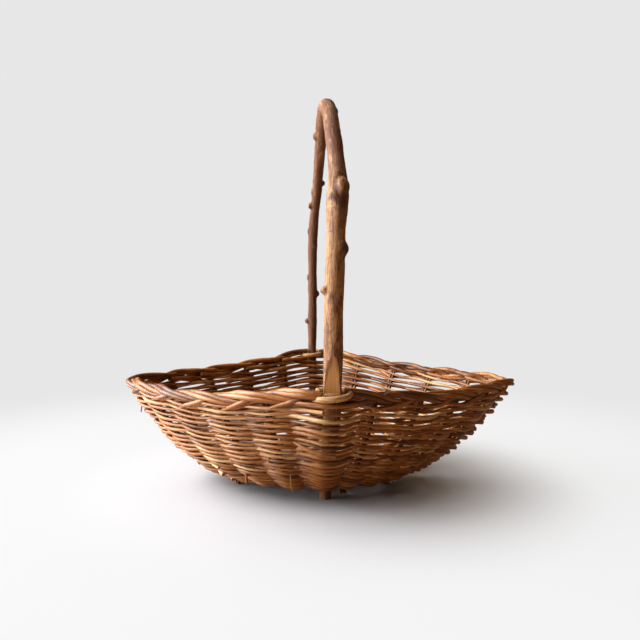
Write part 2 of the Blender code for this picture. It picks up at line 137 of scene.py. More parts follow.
class WillowFinish(PropertyGroup):
    """Colours of the willow rods."""

    dark: colour_setting("Dark rods", "Colour of the darkest rods", 0.080, 0.021, 0.004)
    middle: colour_setting("Middle rods", "Colour of most rods", 0.285, 0.094, 0.015)
    pale: colour_setting("Pale rods", "Colour of the palest rods", 0.57, 0.38, 0.175)


class BarkFinish(PropertyGroup):
    """Colours of the branch."""

    brown: colour_setting("Bark", "Colour of the bark", 0.125, 0.041, 0.013)
    grey: colour_setting("Weathered bark", "Colour of the grey patches", 0.22, 0.100, 0.040)
    gold: colour_setting("Worn bark", "Colour where hands wore the bark through", 0.43, 0.198, 0.058)
    # The knot colour is also painted as shade on the legs inside the wall
    knot: colour_setting("Knots", "Colour round the knots", 0.052, 0.016, 0.006)
    wood: colour_setting("Cut wood", "Colour of the slanted cuts", 0.60, 0.31, 0.115)


class StageSettings(PropertyGroup):
    """Floor, lights and camera."""

    floor_colour: colour_setting("Floor", "Colour of the floor", 0.475, 0.468, 0.464)
    floor_bounce: colour_setting(
        "Floor bounce", "Colour of the floor as the basket sees it", 0.44, 0.33, 0.25)
    backdrop_strength: number_setting("Backdrop", "Brightness of the plain backdrop", 0.80)
    floor_glow: number_setting("Floor glow", "Brightness of the floor round the basket", 0.93)
    fill_strength: number_setting("Fill", "Strength of the light from all round", 0.215)
    window_power: number_setting(
        "Window power", "Power of the large light at the left", 133, subtype="POWER")
    camera_distance: length_setting("Camera distance", "From the basket's middle, over the floor", 0.880)
    camera_height: length_setting("Camera height", "Above the floor", 0.255)
    camera_tilt: number_setting("Camera tilt", "Downward tilt", math.radians(3.3), subtype="ANGLE")
    camera_lens: number_setting("Lens", "Focal length on a sensor 36 mm wide", 38.8)


# Lines and the wall


def clamp(value, low=0, high=1):
    return min(max(value, low), high)


def blend(low, high, part):
    return low + (high - low) * part


def ease(part):
    part = clamp(part)
    return part * part * (3 - 2 * part)


def shares(steps):
    """From 0 to 1 in equal steps, both ends with it."""
    return [step / steps for step in range(steps + 1)]


def read_shares(pairs, share):
    """Reads a table of pairs as a smooth line through them."""
    last = len(pairs) - 1
    index = 0
    while index < last - 1 and share > pairs[index + 1][0]:
        index += 1
    (low, low_value), (high, high_value) = pairs[index], pairs[index + 1]
    before_place, before_value = pairs[max(index - 1, 0)]
    after_place, after_value = pairs[min(index + 2, last)]
    part = clamp((share - low) / (high - low))
    low_slope = (high_value - before_value) / (high - before_place) * (high - low)
    high_slope = (after_value - low_value) / (after_place - low) * (high - low)
    square, cube = part**2, part**3
    return (
        (2 * cube - 3 * square + 1) * low_value + (cube - 2 * square + part) * low_slope
        + (3 * square - 2 * cube) * high_value + (cube - square) * high_slope
    )


def line_length(points):
    return sum((end - start).length for start, end in zip(points, points[1:]))


def equal_steps(points, steps):
    """At equal steps of a polyline's length: which piece each lies on, and how far along it."""
    travelled = [0]
    for start, end in zip(points, points[1:]):
        travelled.append(travelled[-1] + (end - start).length)
    piece = 0
    for step in range(steps + 1):
        goal = travelled[-1] * step / steps
        while piece < len(points) - 2 and travelled[piece + 1] < goal:
            piece += 1
        yield piece, clamp((goal - travelled[piece]) / max(travelled[piece + 1] - travelled[piece], 1e-12))


def resample(points, steps):
    return [points[piece].lerp(points[piece + 1], part) for piece, part in equal_steps(points, steps)]


def quarter_of_oval(half_length, half_width, power):
    """A quarter of a superellipse from +X to +Y, at equal steps of its length."""
    points = []
    for share in shares(CURVE_SAMPLES):
        along = abs(math.cos(math.pi / 2 * share)) ** (2 / power)
        across = math.sin(math.pi / 2 * share) ** (2 / power)
        points.append(Vector((half_length * along, half_width * across, 0)))
    return resample(points, CURVE_SAMPLES)


def around(quarter, turn):
    """The point of an oval at a share of its way round, from +X through +Y."""
    quadrant, part = divmod(turn % 1 * 4, 1)
    if quadrant % 2 == 1:
        part = 1 - part
    place = part * (len(quarter) - 1)
    before = min(int(place), len(quarter) - 2)
    point = quarter[before].lerp(quarter[before + 1], place - before)
    x_sign = -1 if quadrant in (1, 2) else 1
    y_sign = -1 if quadrant in (2, 3) else 1
    return Vector((point.x * x_sign, point.y * y_sign, 0))


class Leg:
    """One leg of the handle inside the wall: middles and radii by share of the way up."""

    def __init__(self, wall, station, foot_radius, rim_radius):
        turn = wall.station_turns[station]
        line = wall.line(turn, LEG_STEPS)
        outward = around(wall.edge, turn).normalized()
        bottom = line[0] + outward * (foot_radius - wall.frame_stake_radius)
        top = line[-1]
        self.points = []
        self.radii = []
        for point in line:
            rise = (point.z - bottom.z) / (top.z - bottom.z)
            spread = read_shares(LEG_PATH_SHARES, rise)
            self.points.append(Vector((*bottom.lerp(top, spread).xy, point.z)))
            self.radii.append(blend(foot_radius, rim_radius, rise))

    def at(self, share):
        place = clamp(share) * LEG_STEPS
        before = min(int(place), LEG_STEPS - 1)
        part = place - before
        middle = self.points[before].lerp(self.points[before + 1], part)
        return middle, blend(self.radii[before], self.radii[before + 1], part)


class Wall:
    """The wall as a surface: turn is the share of the way round, share the way up."""

    frame_stake_radius = 2.75 * MM
    # Stakes grow thinner below this share, where the rows close up
    thinning_share = 0.16
    # How far apart a leg is read to find its direction, and the wall to find its axes
    leg_reach = 0.04
    axes_reach = 0.02
    most_tilt = 1.2
    least_up = 0.2

    def __init__(self, form):
        self.form = form
        self.rim = quarter_of_oval(form.rim_half_length, form.rim_half_width, RIM_POWER)
        self.edge = quarter_of_oval(form.edge_half_length, form.edge_half_width, EDGE_POWER)
        self.rim_length = 4 * line_length(self.rim)
        self.edge_length = 4 * line_length(self.edge)
        self.station_turns = [station / STATIONS for station in range(STATIONS)]
        for station in LEG_RADII:
            self.station_turns[station] += form.leg_shift / self.rim_length
        self.grid = [self.line(step / GRID_TURNS, GRID_SHARES) for step in range(GRID_TURNS)]
        self.heights = [line_length(line) for line in self.grid]
        self.legs = {station: Leg(self, station, *radii) for station, radii in LEG_RADII.items()}

    def legward(self, turn):
        """0 at the tips of the oval and 1 at the legs."""
        return (1 - math.cos(4 * math.pi * turn)) / 2

    def rim_point(self, turn):
        rise = self.form.rim_leg_rise * self.legward(turn) ** RIM_RISE_SHARPNESS
        return around(self.rim, turn) + Vector((0, 0, self.form.rim_tip_height + rise))

    def edge_place(self, turn):
        shift = self.form.edge_end_shift * (1 - self.legward(turn))
        return around(self.edge, turn) - Vector((shift, 0, 0))

    def line(self, turn, segments):
        """The middle surface from the base edge to the rim, at equal steps of its length."""
        bottom = self.edge_place(turn) + Vector((0, 0, self.form.edge_height))
        top = self.rim_point(turn)
        power = blend(TIP_PROFILE_POWER, LEG_PROFILE_POWER, self.legward(turn))
        points = []
        for spread in shares(CURVE_SAMPLES):
            point = bottom.lerp(top, spread)
            point.z = blend(bottom.z, top.z, spread**power)
            points.append(point)
        return resample(points, segments)

    def at(self, turn, share):
        across, across_part = divmod(turn % 1 * GRID_TURNS, 1)
        across = int(across) % GRID_TURNS
        upward = clamp(share) * GRID_SHARES
        low = min(int(upward), GRID_SHARES - 1)
        here, there = self.grid[across], self.grid[(across + 1) % GRID_TURNS]
        left = here[low].lerp(here[low + 1], upward - low)
        right = there[low].lerp(there[low + 1], upward - low)
        return left.lerp(right, across_part)

    def axes(self, turn, share):
        """The ways round, up and out of the wall."""
        step = 2 / GRID_TURNS
        along = (self.at(turn + step, share) - self.at(turn - step, share)).normalized()
        low = clamp(share - self.axes_reach, 0, 1 - 2 * self.axes_reach)
        up = (self.at(turn, low + 2 * self.axes_reach) - self.at(turn, low)).normalized()
        out = along.cross(up).normalized()
        return along, out.cross(along).normalized(), out

    def girth(self, share):
        return blend(self.edge_length, self.rim_length, share)

    def height(self, turn):
        return self.heights[int(turn % 1 * GRID_TURNS) % GRID_TURNS]

    def interval(self, turn):
        """The station at or before a place, and how far on to the next it lies."""
        turn = turn % 1
        for station in range(STATIONS):
            start = self.station_turns[station]
            end = self.station_turns[station + 1] if station + 1 < STATIONS else 1
            if start <= turn < end:
                return station, (turn - start) / (end - start)
        return STATIONS - 1, 1.0

    def passing(self, station, share, side, stake_radius, rod_radius, level):
        """How far a rod's middle stands off the wall where it passes an upright."""
        station = station % STATIONS
        turn = self.station_turns[station]
        along, up, out = self.axes(turn, share)
        shift = Vector((0, 0, 0))
        radius = stake_radius
        if station in self.legs:
            leg = self.legs[station]
            middle, radius = leg.at(share)
            shift = middle - self.at(turn, share)
            up = (leg.at(share + self.leg_reach)[0] - leg.at(share - self.leg_reach)[0]).normalized()
            out = along.cross(up).normalized()
        elif share < self.thinning_share:
            radius *= blend(0.5, 1, ease(share / self.thinning_share))
        tilt = level * clamp(-out.z / max(up.z, self.least_up), 0, self.most_tilt)
        return shift + (out + up * tilt) * side * (radius + rod_radius)


class RodBundle:
    """Collects tapered rods as one mesh. The UV map holds metres along a rod and turns round it."""

    def __init__(self, sides=ROD_SIDES):
        self.work = bmesh.new()
        self.sides = sides

    def add(self, rod, tone):
        """Adds a rod through points, each with its radius."""
        points, radii = zip(*rod)
        curve = bpy.data.curves.new("rod", "CURVE")
        curve.dimensions = "3D"
        curve.bevel_depth = 1
        curve.bevel_resolution = max(self.sides // 2 - 2, 0)
        curve.use_fill_caps = True
        spline = curve.splines.new("POLY")
        spline.points.add(len(points) - 1)
        spline.points.foreach_set("co", [value for point in points for value in (*point, 1)])
        spline.points.foreach_set("radius", radii)
        carrier = bpy.data.objects.new("rod", curve)
        mesh = bpy.data.meshes.new_from_object(carrier)
        bpy.data.objects.remove(carrier)
        bpy.data.curves.remove(curve)
        places = [0.0] * (len(mesh.loops) * 2)
        mesh.uv_layers[0].data.foreach_get("uv", places)
        length = line_length(points)
        places[0::2] = [place * length for place in places[0::2]]
        mesh.uv_layers[0].data.foreach_set("uv", places)
        tones = mesh.attributes.new("tone", "FLOAT", "POINT")
        tones.data.foreach_set("value", [tone] * len(mesh.vertices))
        self.work.from_mesh(mesh)
        bpy.data.meshes.remove(mesh)

    def finish(self, name, slot, nodes):
        """Links the rods as one piece of the basket."""
        bmesh.ops.recalc_face_normals(self.work, faces=self.work.faces)
        mesh = bpy.data.meshes.new(name)
        self.work.to_mesh(mesh)
        self.work.free()
        mesh.materials.append(material_for(slot))
        mesh.shade_smooth()
        piece = bpy.data.objects.new(name, mesh)
        bpy.context.scene.collection.objects.link(piece)
        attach(piece, "root")
        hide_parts(*nodes)


def nodes_named(start):
    found = [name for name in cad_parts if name.startswith(start)]
    if not found:
        raise RuntimeError(f"The frame has no node whose name starts with {start}")
    return sorted(found)


# Shaders

SKIN_OUTPUTS = {"Color": "NodeSocketColor", "Roughness": "NodeSocketFloat", "Height": "NodeSocketFloat"}


class Value:
    """A number in a shader. Sums, differences and products place Math nodes."""

    def __init__(self, sheet, socket):
        self.sheet = sheet
        self.socket = socket

    def __add__(self, other):
        return self.sheet.math("ADD", self, other)

    def __sub__(self, other):
        return self.sheet.math("SUBTRACT", self, other)

    def __mul__(self, other):
        return self.sheet.math("MULTIPLY", self, other)


class NodeSheet:
    """A short way to place and join shader nodes."""

    columns = 12

    def __init__(self, tree):
        self.tree = tree
        self.count = 0

    def node(self, kind, **settings):
        made = self.tree.nodes.new(f"ShaderNode{kind}")
        self.count += 1
        made.location = (self.count % self.columns * 190, -(self.count // self.columns) * 260)
        for key, value in settings.items():
            setattr(made, key, value)
        return made

    def feed(self, socket, value):
        value = value.socket if isinstance(value, Value) else value
        if isinstance(value, bpy.types.NodeSocket):
            self.tree.links.new(value, socket)
        else:
            socket.default_value = value

    def feed_named(self, sockets, values):
        for label, value in values.items():
            self.feed(sockets[label], value)

    def wire(self, made, *values):
        """Feeds a node's sockets in their order and gives its first output."""
        for socket, value in zip(made.inputs, values):
            self.feed(socket, value)
        return made.outputs[0]

    def math(self, operation, *values, clamped=False):
        return Value(self, self.wire(self.node("Math", operation=operation, use_clamp=clamped), *values))

    def fit(self, value, low, high, low_out=0.0, high_out=1.0):
        made = self.node("MapRange", interpolation_type="SMOOTHSTEP")
        return Value(self, self.wire(made, value, low, high, low_out, high_out))

    def mix(self, part, first, second, kind="MIX"):
        made = self.node("Mix", data_type="RGBA", blend_type=kind)
        for index, value in ((0, part), (6, first), (7, second)):
            self.feed(made.inputs[index], value)
        return made.outputs[2]

    def blend_shaders(self, part, first, second):
        return self.wire(self.node("MixShader"), part, first.outputs[0], second.outputs[0])

    def noise(self, place, scale, detail, rough=0.55):
        """Noise at a vector, or at a tuple of three values."""
        if isinstance(place, tuple):
            place = self.wire(self.node("CombineXYZ"), *place)
        made = self.node("TexNoise")
        self.feed_named(made.inputs, {"Vector": place, "Scale": scale, "Detail": detail, "Roughness": rough})
        return Value(self, made.outputs["Fac"])

    def attribute(self, name):
        return Value(self, self.node("Attribute", attribute_name=name).outputs["Fac"])


def new_skin(name, colours):
    """An empty skin group on a sheet, with its colour inputs and its results."""
    group = bpy.data.node_groups.new(name, "ShaderNodeTree")
    for label in colours:
        group.interface.new_socket(label, in_out="INPUT", socket_type="NodeSocketColor")
    for label, kind in SKIN_OUTPUTS.items():
        group.interface.new_socket(label, in_out="OUTPUT", socket_type=kind)
    entry = group.nodes.new("NodeGroupInput")
    entry.location.x = -200
    results = group.nodes.new("NodeGroupOutput")
    results.location.x = 2500
    return NodeSheet(group), entry.outputs, results.inputs


def rod_coordinates(sheet):
    """Length along a rod, and the cosine and sine of the way round it, which join without a seam."""
    split = sheet.node("SeparateXYZ")
    sheet.wire(split, sheet.node("UVMap", uv_map="UVMap").outputs[0])
    along, angle = Value(sheet, split.outputs[0]), Value(sheet, split.outputs[1]) * math.tau
    return along, sheet.math("COSINE", angle), sheet.math("SINE", angle)


def willow_skin(name):
    """Skin of a willow rod: streaks along it, buds, rubbed places and a tone for each rod."""
    sheet, colours, results = new_skin(name, ("Dark", "Middle", "Pale"))
    along, side, top = rod_coordinates(sheet)
    tone = sheet.attribute("tone")
    shift = tone * 61.0
    streaks = sheet.noise((side * 1.6 + shift, top * 1.6, along * 60.0), 1.6, 4.0, 0.6)
    patches = sheet.noise((shift, side * 0.35, along * 26.0), 1.0, 2.0)
    level = sheet.math("ADD", (streaks - 0.5) * 0.9, tone + (patches - 0.5), clamped=True)
    skin = sheet.mix(sheet.fit(level, 0.0, 0.5), colours["Dark"], colours["Middle"])
    skin = sheet.mix(sheet.fit(level, 0.45, 1.0), skin, colours["Pale"])
    buds = sheet.node("TexVoronoi", voronoi_dimensions="1D", feature="F1")
    sheet.feed(buds.inputs["W"], along * 26.0 + tone * 173.0)
    chance = Value(sheet, sheet.wire(sheet.node("SeparateColor"), buds.outputs["Color"]))
    facing = chance * math.tau
    turned = sheet.math("COSINE", facing) * side + sheet.math("SINE", facing) * top
    bud = sheet.fit(buds.outputs["Distance"], 0.02, 0.07, 1.0, 0.0) * sheet.fit(turned, 0.75, 1.0)
    specks = sheet.noise((side * 2.5, top * 2.5, along * 900.0 + shift), 1.0, 2.0)
    for part in (bud * 0.6, sheet.fit(specks, 0.64, 0.76) * 0.45):
        skin = sheet.mix(part, skin, colours["Dark"])
    rough = sheet.fit(streaks, 0.25, 0.8, 0.32, 0.56)
    sheet.feed_named(results, {"Color": skin, "Roughness": rough, "Height": streaks + bud * 0.7})
    return sheet.tree


def bark_skin(name):
    """Skin of the branch: streaks along it, grey and golden stretches, short pores, dark knots."""
    sheet, colours, results = new_skin(name, ("Brown", "Grey", "Gold", "Knot", "Wood"))
    along, side, top = rod_coordinates(sheet)
    knot, cut, wear = (sheet.attribute(label) for label in ("knot", "cut", "worn"))

    def skin_noise(round_scale, along_scale, detail, rough=0.55):
        place = (side * round_scale, top * round_scale, along * along_scale)
        return sheet.noise(place, 1.0, detail, rough)

    streaks = skin_noise(5.0, 30.0, 6.0, 0.65)
    stretches = skin_noise(0.9, 22.0, 3.0)
    mottle = skin_noise(7.0, 260.0, 5.0, 0.6)
    worn = (wear - 0.5) * 0.36 + skin_noise(1.3, 38.0, 6.0, 0.62)
    pores = sheet.fit(skin_noise(3.0, 900.0, 2.0), 0.62, 0.72)
    lines = sheet.math("ABSOLUTE", skin_noise(3.6, 13.0, 2.0) - 0.5)
    cracks = sheet.fit(lines, 0.0, 0.022, 1.0, 0.0) * sheet.fit(stretches, 0.42, 0.58)
    skin = colours["Brown"]
    for label, part in (
        ("Grey", sheet.fit((wear - 0.35) * 0.35 + stretches, 0.40, 0.60)),
        ("Gold", sheet.fit(worn, 0.48, 0.56, 0.0, 0.9)),
        ("Brown", sheet.fit(streaks, 0.36, 0.60, 0.75, 0.0)),
        ("Knot", sheet.fit(mottle, 0.34, 0.52, 0.6, 0.0)),
        ("Knot", pores * 0.7),
        ("Knot", cracks * 0.75),
        ("Gold", sheet.fit(skin_noise(8.0, 420.0, 2.0), 0.66, 0.74) * 0.6),
        # The knot attribute also brings painted shade to the legs inside the wall
        ("Knot", knot * sheet.fit(mottle, 0.35, 0.62, 1.0, 0.7)),
    ):
        skin = sheet.mix(part, skin, colours[label])
    grain = sheet.fit(skin_noise(10.0, 16.0, 4.0), 0.35, 0.7, 0.0, 0.8)
    wood = sheet.mix(grain, colours["Wood"], colours["Gold"])
    stain = sheet.mix(sheet.fit(streaks, 0.35, 0.65, 0.75, 0.3), wood, colours["Brown"])
    wood = sheet.mix(sheet.fit(cut, 0.55, 0.9), stain, wood)
    relief = streaks + mottle * 0.7 - pores * 0.5 - cracks * 0.7
    sheet.feed_named(results, {
        "Color": sheet.mix(sheet.fit(cut, 0.15, 0.5), skin, wood),
        "Roughness": sheet.fit(worn, 0.35, 0.65, 0.75, 0.55),
        "Height": relief * sheet.fit(cut, 0.3, 0.7, 1.0, 0.15),
    })
    return sheet.tree


def skin_material(name, skin_name, maker, finish, bump_height, gloss, tint, lighter=1.0):
    """A material whose colour, roughness and bump come from a skin group."""
    found = bpy.data.materials.get(name)
    if found:
        return found
    material = bpy.data.materials.new(name)
    material.use_nodes = True
    sheet = NodeSheet(material.node_tree)
    shader = material.node_tree.nodes["Principled BSDF"]
    skin = sheet.node("Group", node_tree=bpy.data.node_groups.get(skin_name) or maker(skin_name))
    for socket in skin.inputs:
        colour = getattr(finish, socket.name.lower())
        socket.default_value = (*[min(part * lighter, 1) for part in colour[:3]], 1)
    bump = sheet.node("Bump")
    sheet.feed_named(
        bump.inputs, {"Strength": 0.8, "Distance": bump_height, "Height": skin.outputs["Height"]})
    sheet.feed_named(shader.inputs, {
        "Base Color": skin.outputs["Color"],
        "Roughness": skin.outputs["Roughness"],
        "Normal": bump.outputs["Normal"],
        "Specular IOR Level": gloss,
        "Specular Tint": tint,
    })
    return material


# Willow by slot: the material's name and how light it is beside the finish
WILLOWS = {
    "woven_willow": ("Woven willow", 1.0),
    "stake_willow": ("Stake willow", 0.7),
    "rim_willow": ("Border willow", 1.0),
}


def material_for(slot):
    """The material of a slot, made when the first piece asks for it."""
    scene = bpy.context.scene
    if slot == "branch_bark":
        return skin_material(
            "Branch bark", "Bark skin", bark_skin, scene.bark_finish, 1.2 * MM, 0.4, (1.0, 0.93, 0.86, 1))
    name, lighter = WILLOWS[slot]
    return skin_material(
        name, "Willow skin", willow_skin, scene.willow_finish, 0.35 * MM, 0.38, (1.0, 0.97, 0.86, 1), lighter)


# Wall

# Loose ends on the wall: tone, radius and points by turn, share, then reach outwards and rise in millimetres
LOOSE_ENDS = (
    (0.45, 2.1 * MM, ((0.642, 0.32, 0, 0), (0.642, 0.28, 4, 0), (0.642, 0.27, 5, -11))),
    (0.15, 1.0 * MM, ((0.503, 0.84, 2, 0), (0.503, 0.82, 7, 0), (0.503, 0.82, 8, -6))),
    (0.6, 0.45 * MM, (
        (0.708, 0.31, 0, 0), (0.71, 0.30, 5, -3), (0.711, 0.30, 6, -11), (0.713, 0.30, 5, -19))),
)
LOOSE_STEPS = 12
TAIL_STEPS = 16
# The part of a stretch between stakes over which a rod's end leaves its row
END_STRETCH = 0.8
# How far the top rows bulge outwards
BELLY = 2.5 * MM
# How far a row's rods run past each other's ends, in turns
OVERLAP = 0.02


def row_share(weave, row, height):
    """Way up the wall of a row. Rows lie closer near the base."""
    part = row / (weave.rows - 1)
    part = 0.92 * part + 0.08 * part**2
    return blend(weave.first_row / height, 1 - weave.last_row / height, part)


def weave_point(wall, weave, share, parity, turn, radius, lift=0.0, push=0.0):
    """A point of a rod that passes the uprights by turns outside and inside."""
    station, part = wall.interval(turn)
    swing = (1 - math.cos(math.pi * part)) / 2
    _, up, out = wall.axes(turn, share)
    offsets = []
    for near in (station, station + 1):
        side = 1 if (near + parity) % 2 == 0 else -1
        offsets.append(wall.passing(near, share, side, weave.stake_radius, radius, weave.level))
    return wall.at(turn, share) + offsets[0].lerp(offsets[1], swing) + out * push + up * lift


def weave_rod(wall, weave, share, parity, start, span, bundle, dice, butt_last=False, bare=0.0):
    """One tapered rod of a row. A thick end that comes last can stick out by a bare length."""
    count = max(int(span * wall.girth(share) / ROD_STEP), 6)
    stout = dice.uniform(0.76, 1.24)
    slant = weave.slant * dice.uniform(0.2, 1.9)
    butt, tip = weave.butt_radius * stout, weave.tip_radius * stout
    poke = dice.uniform(0.3, 1.9) * MM
    drift = dice.uniform(-1, 1) * MM
    seed = dice.uniform(0, 100)
    belly = BELLY * ease((share - 0.7) / 0.25)
    rod = []
    for part in shares(count):
        turn = start + span * part
        from_butt = 1 - part if butt_last else part
        room = blend(0.3, 1, wall.height(turn) / wall.height(0.25))
        radius = blend(butt, tip, from_butt**0.8) * room
        stray = noise.noise(Vector((turn * 30, seed, 0))) * weave.wander
        lead = max(1 - from_butt * span * STATIONS / END_STRETCH, 0)
        trail = max(1 - (1 - from_butt) * span * STATIONS / END_STRETCH, 0)
        station, beyond = wall.interval(turn)
        phase = math.sin(math.pi * (station + beyond + parity))
        lift = stray + drift * lead - drift * trail - slant * phase
        push = poke * lead**2 - 1.5 * MM * trail + 0.4 * stray + belly
        point = weave_point(wall, weave, share, parity, turn, radius, lift, push)
        rod.append((point, radius * (1 + 0.06 * noise.noise(Vector((turn * 160, seed, 5))))))
    if bare:
        _, up, out = wall.axes(start + span, share)
        way = (rod[-1][0] - rod[-3][0]).normalized() + out * dice.uniform(-0.6, 0.9)
        way = (way + up * dice.uniform(-0.6, 0.4)).normalized()
        for reach in (0.5, 1.0):
            rod.append((rod[-1][0] + way * bare * reach, butt))
    bundle.add(rod, clamp(dice.gauss(0.44, 0.16), 0.05, 0.92))


def weave_row(wall, weave, row, bundle, dice):
    """One row: a rod whose bare butt shows at the right tip, and one or two more round the rest."""
    share = row_share(weave, row, wall.height(0.25))
    rods = 2 if row < weave.rows // 3 else 3
    finish = 1 + dice.uniform(-0.016, 0.005)
    begin = finish - 1 / rods - dice.uniform(-0.04, 0.06)
    bare = dice.uniform(0.2, 1.7) * MM
    weave_rod(wall, weave, share, row % 2, begin, finish - begin, bundle, dice, True, bare)
    rest = begin + 1 + 0.03 - (finish - OVERLAP)
    for number in range(rods - 1):
        start = finish - OVERLAP + rest * number / (rods - 1)
        span = rest / (rods - 1) + 2 * OVERLAP
        weave_rod(wall, weave, share, row % 2, start, span, bundle, dice, number == 0)


def loose_ends(wall, weave, bundle):
    """A few ends that stray from the rows: a cut stake, a twig, a sliver and a weaver's tail."""
    for tone, radius, places in LOOSE_ENDS:
        points = []
        for turn, share, reach, rise in places:
            out = wall.axes(turn, share)[2]
            points.append(wall.at(turn, share) + out * reach * MM + Vector((0, 0, rise * MM)))
        points = resample(points, LOOSE_STEPS)
        bundle.add([(point, radius * (1 - 0.02 * index)) for index, point in enumerate(points)], tone)
    start, end = wall.station_turns[NEAR_STATION - 1] + 0.014, wall.station_turns[NEAR_STATION] + 0.004
    rod = []
    for part in shares(TAIL_STEPS):
        turn = blend(start, end, part)
        push = 3.2 * MM * ease(part * 2)
        point = weave_point(wall, weave, 0.63 - 0.1 * part, 1, turn, 1.6 * MM, push=push)
        rod.append((point, (1.8 - 0.5 * part) * MM))
    bundle.add(rod, 0.66)


class BASKET_OT_wall(Operator):
    """Weaves the rows of the wall from tapered rods"""

    bl_idname = "basket.wall"
    bl_label = "Weave the wall"

    def execute(self, context):
        wall = Wall(context.scene.basket_form)
        weave = context.scene.basket_weave
        dice = random.Random(SEED_WALL)
        nodes = nodes_named("weaving_row_")
        levels = ("lower", "middle", "upper")
        for number, level in enumerate(levels):
            bundle = RodBundle()
            rows, names = (
                slice(count * number // len(levels), count * (number + 1) // len(levels))
                for count in (weave.rows, len(nodes)))
            for row in range(weave.rows)[rows]:
                weave_row(wall, weave, row, bundle, dice)
            if level == "lower":
                loose_ends(wall, weave, bundle)
            bundle.finish(f"woven_wall_{level}", "woven_willow", nodes[names])
        return {"FINISHED"}


# Height of the stakes' butts above the table, by station, where they show below the base edge
STAKE_FEET = {1: 0.5 * MM, 9: 0.5 * MM, 11: 0.5 * MM, 16: 4 * MM, 19: 0.5 * MM}
STAKE_STEPS = 30


class BASKET_OT_stakes(Operator):
    """Stands a pair of thin rods at each place of the wall"""

    bl_idname = "basket.stakes"
    bl_label = "Stand the side stakes"

    def execute(self, context):
        wall = Wall(context.scene.basket_form)
        radius = context.scene.basket_weave.stake_radius
        dice = random.Random(SEED_STAKES)
        bundle = RodBundle()
        for station in range(STATIONS):
            if station in wall.legs:
                continue
            turn = wall.station_turns[station]
            line = wall.line(turn, STAKE_STEPS)
            along = wall.axes(turn, 0.5)[0]
            for side in (-1, 1):
                apart = along * side * radius
                foot = Vector((*line[0].xy, STAKE_FEET.get(station, dice.uniform(10, 13) * MM)))
                points = [foot + apart]
                for index, point in enumerate(line):
                    stray = noise.noise(Vector((station * 7.1, side, index * 0.21))) * 0.8 * MM
                    points.append(point + apart + along * stray)
                thinner = 0.2 * radius / len(points)
                rod = [(point, 1.08 * radius - thinner * index) for index, point in enumerate(points)]
                bundle.add(rod, dice.uniform(0.0, 0.45))
        bundle.finish("side_stakes", "stake_willow", nodes_named("side_stake_"))
        return {"FINISHED"}


# Border

# How many places a border rod passes, and the step along them
BORDER_LIFE = 3.05
BORDER_STEP = 0.06
TWIN_SPREAD_SHARE = 0.75
# Way along the rim, in places, against rise above the rim and reach outwards in millimetres
BORDER_RISE = (
    (0, -16), (0.1, -13.5), (0.2, -11.5), (0.4, -8.5), (0.6, -5.2), (0.8, -1.2), (1, 2.3), (1.2, 3.8),
    (1.4, 4.2), (1.6, 3.9), (1.8, 2.8), (2, 0.6), (2.2, -2), (2.4, -3.4), (2.6, -4), (2.8, -3.4), (3.05, -2),
)
BORDER_REACH = (
    (0, 0), (0.1, 0.2), (0.2, 0.8), (0.4, 1.6), (0.6, 1.2), (0.8, -0.4), (1, -2.6), (1.2, -2.4), (1.4, 0.8),
    (1.6, 4.6), (1.8, 6.4), (2, 5.6), (2.2, 3.2), (2.4, 0.4), (2.6, -2.2), (2.8, -4.4), (3.05, -5),
)


def bound_at(wall, turn):
    """Whether a leg and its binding stand at this place of the rim."""
    here = wall.rim_point(turn)
    return any((here - leg.points[-1]).length < leg.radii[-1] + 1.5 * MM for leg in wall.legs.values())


def border_rod(wall, weave, station, twin, bundle, dice):
    """One rod of a pair: out of the wall at its place, then laid into the border over three places."""
    start = wall.station_turns[station % STATIONS] + station // STATIONS
    radius = weave.border_radius * dice.uniform(0.92, 1.1)
    count = int(BORDER_LIFE / BORDER_STEP)
    seed = dice.uniform(0, 90)
    tone = dice.uniform(0.08, 0.56)
    runs = [[]]
    for way in shares(count):
        way *= BORDER_LIFE
        turn = start + way / STATIONS
        if bound_at(wall, turn):
            runs.append([])
            continue
        _, up, out = wall.axes(turn, 1.0)
        out = out.xy.to_3d().normalized()
        stray = noise.noise(Vector((way * 2.2, seed, 1.5))) * 0.8 * MM
        rise = read_shares(BORDER_RISE, way) * MM + stray
        reach = read_shares(BORDER_REACH, way) * MM
        low = min(rise + 7 * MM, 0)
        lean = up * low - Vector((0, 0, low))
        facing = (Vector((0, 0, rise)) + out * (reach + 3 * MM)).normalized()
        runs[-1].append((wall.rim_point(turn) + Vector((0, 0, rise)) + lean + out * reach, facing, way))
    for run in runs:
        if len(run) < 4:
            continue
        rod = []
        for index, (middle, facing, way) in enumerate(run):
            ahead = run[min(index + 1, len(run) - 1)][0] - run[max(index - 1, 0)][0]
            across = ahead.cross(facing).normalized()
            spread = radius * TWIN_SPREAD_SHARE * (1 + 0.3 * noise.noise(Vector((way * 3, seed, 9))))
            taper = (1.08 - 0.3 * way / BORDER_LIFE) * blend(0.66, 1, ease(way / 0.9))
            rod.append((middle + across * twin * spread, radius * taper))
        bundle.add(rod, tone)


class BASKET_OT_border(Operator):
    """Plaits the border from the pairs of rods that rise at each place of the wall"""

    bl_idname = "basket.border"
    bl_label = "Plait the border"

    def execute(self, context):
        wall = Wall(context.scene.basket_form)
        dice = random.Random(SEED_BORDER)
        for side, first in (("left", FAR_STATION), ("right", NEAR_STATION)):
            bundle = RodBundle(THICK_ROD_SIDES)
            for station in range(first, first + STATIONS // 2):
                for twin in (-1, 1):
                    border_rod(wall, context.scene.basket_weave, station, twin, bundle, dice)
            bundle.finish(f"plaited_border_{side}", "rim_willow", nodes_named(f"rim_rod_{side}"))
        return {"FINISHED"}


BINDING_RADIUS = 3.8 * MM
BINDING_TURNS = 1.32
BINDING_STEPS = 60
BINDING_PITCH = 6.6 * MM
BINDING_START = math.pi * 0.22
BINDING_WIDTH = 1.3


